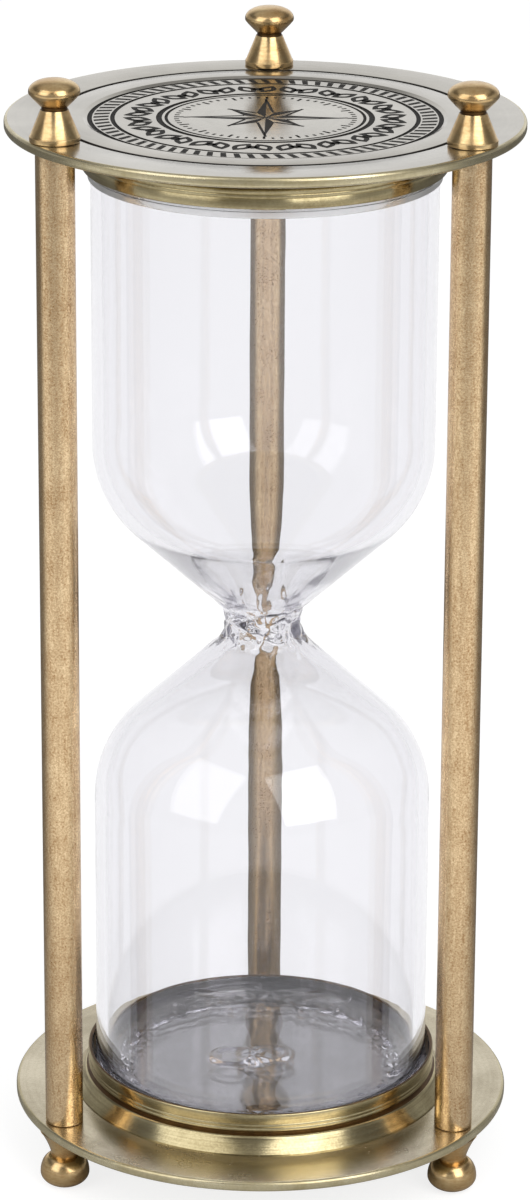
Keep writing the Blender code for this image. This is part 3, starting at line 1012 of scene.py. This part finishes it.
print("lighting")
bpy.ops.object.select_all(action="DESELECT")
bpy.ops.mesh.primitive_plane_add(size=studio["floorSize"], location=(0, 0, -0.05 * mm))
floor = bpy.context.object
floor.name = "floor"
floorFinish, tree, shader = newFinish("paleStudioFloor", {
    "Roughness": 0.9, "Specular IOR Level": 0})
seen = seenDirectly(tree, addNode(tree, "LightPath"))
glow = addNode(tree, "Math", {"operation": "MULTIPLY"}, {0: seen, 1: studio["floorGlow"]})
# what the eye sees is mostly glow; what metal reflects is the floor with painted shade, its colour darker
# behind the object and far in front
along = addNode(tree, "SeparateXYZ", inputs={0: addNode(tree, "TexCoord").outputs["Object"]})
lit = softRamp(tree, along.outputs["Y"], studio["dimReach"], studio["floorBright"], studio["floorDim"])
far = softRamp(tree, along.outputs["Y"], studio["farReach"], studio["floorFar"], 1)
reflected = addNode(tree, "Math", {"operation": "MULTIPLY"}, {0: lit.outputs[0], 1: far.outputs[0]})
shade = addNode(tree, "Mix", {"data_type": "FLOAT"}, {
    0: seen, 2: reflected.outputs[0], 3: studio["floorShade"]})
tree.links.new(shade.outputs[0], shader.inputs["Base Color"])
shader.inputs["Emission Color"].default_value = (1, 1, 1, 1)
tree.links.new(glow.outputs[0], shader.inputs["Emission Strength"])
floor.data.materials.append(floorFinish)

for azimuth, power in zip(studio["boxAzimuths"], studio["boxPowers"]):
    angle = math.radians(azimuth)
    spot = Vector((math.sin(angle) * studio["boxDistance"], -math.cos(angle) * studio["boxDistance"],
                   studio["boxHeight"]))
    bpy.ops.object.light_add(type="AREA", location=spot)
    lamp = bpy.context.object
    lamp.name = "softBoxLeft" if azimuth < 0 else "softBoxRight"
    lamp.data.shape = "RECTANGLE"
    lamp.data.size, lamp.data.size_y = studio["boxSize"]
    lamp.data.energy = power
    lamp.data.use_nodes = True
    tree = lamp.data.node_tree
    glint = addNode(tree, "MapRange", inputs={
        "Value": addNode(tree, "LightPath").outputs["Is Singular Ray"],
        "To Min": 1, "To Max": studio["glassGlint"]})
    tree.links.new(glint.outputs[0], tree.nodes["Emission"].inputs["Strength"])
    lamp.rotation_mode = "QUATERNION"
    lamp.rotation_quaternion = (Vector((0, 0, studio["aimHeight"])) - spot).to_track_quat("-Z", "Y")

world = bpy.data.worlds.new("studio")
bpy.context.scene.world = world
world.use_nodes = True
tree = world.node_tree
rays = addNode(tree, "LightPath")
seen = seenDirectly(tree, rays)
direction = addNode(tree, "SeparateXYZ", inputs={0: addNode(tree, "TexCoord").outputs["Generated"]})
# in reflections the room is white behind the object, grey overhead and low down, dim elsewhere
toBack, upward = direction.outputs["Y"], direction.outputs["Z"]
back = softRamp(tree, toBack, studio["backReach"], studio["roomSides"], studio["roomBack"])
ceiling = softRamp(tree, upward, studio["ceilingReach"], 0, studio["roomCeiling"])
horizon = softRamp(tree, upward, studio["lowReach"], studio["roomLow"], 0)
room = higher(tree, higher(tree, back.outputs[0], ceiling.outputs[0]), horizon.outputs[0])
mirror = addNode(tree, "Background", inputs={"Strength": room})
fill = addNode(tree, "Background", inputs={"Strength": studio["fill"]})
white = addNode(tree, "Background", inputs={"Strength": 1})
for node in (mirror, fill, white):
    node.inputs["Color"].default_value = (1, 1, 1, 1)
first = addNode(tree, "MixShader", inputs={
    0: rays.outputs["Is Glossy Ray"], 1: fill.outputs[0], 2: mirror.outputs[0]})
last = addNode(tree, "MixShader", inputs={0: seen, 1: first.outputs[0], 2: white.outputs[0]})
tree.links.new(last.outputs[0], tree.nodes["World Output"].inputs["Surface"])

bpy.context.scene.view_settings.view_transform = "Standard"
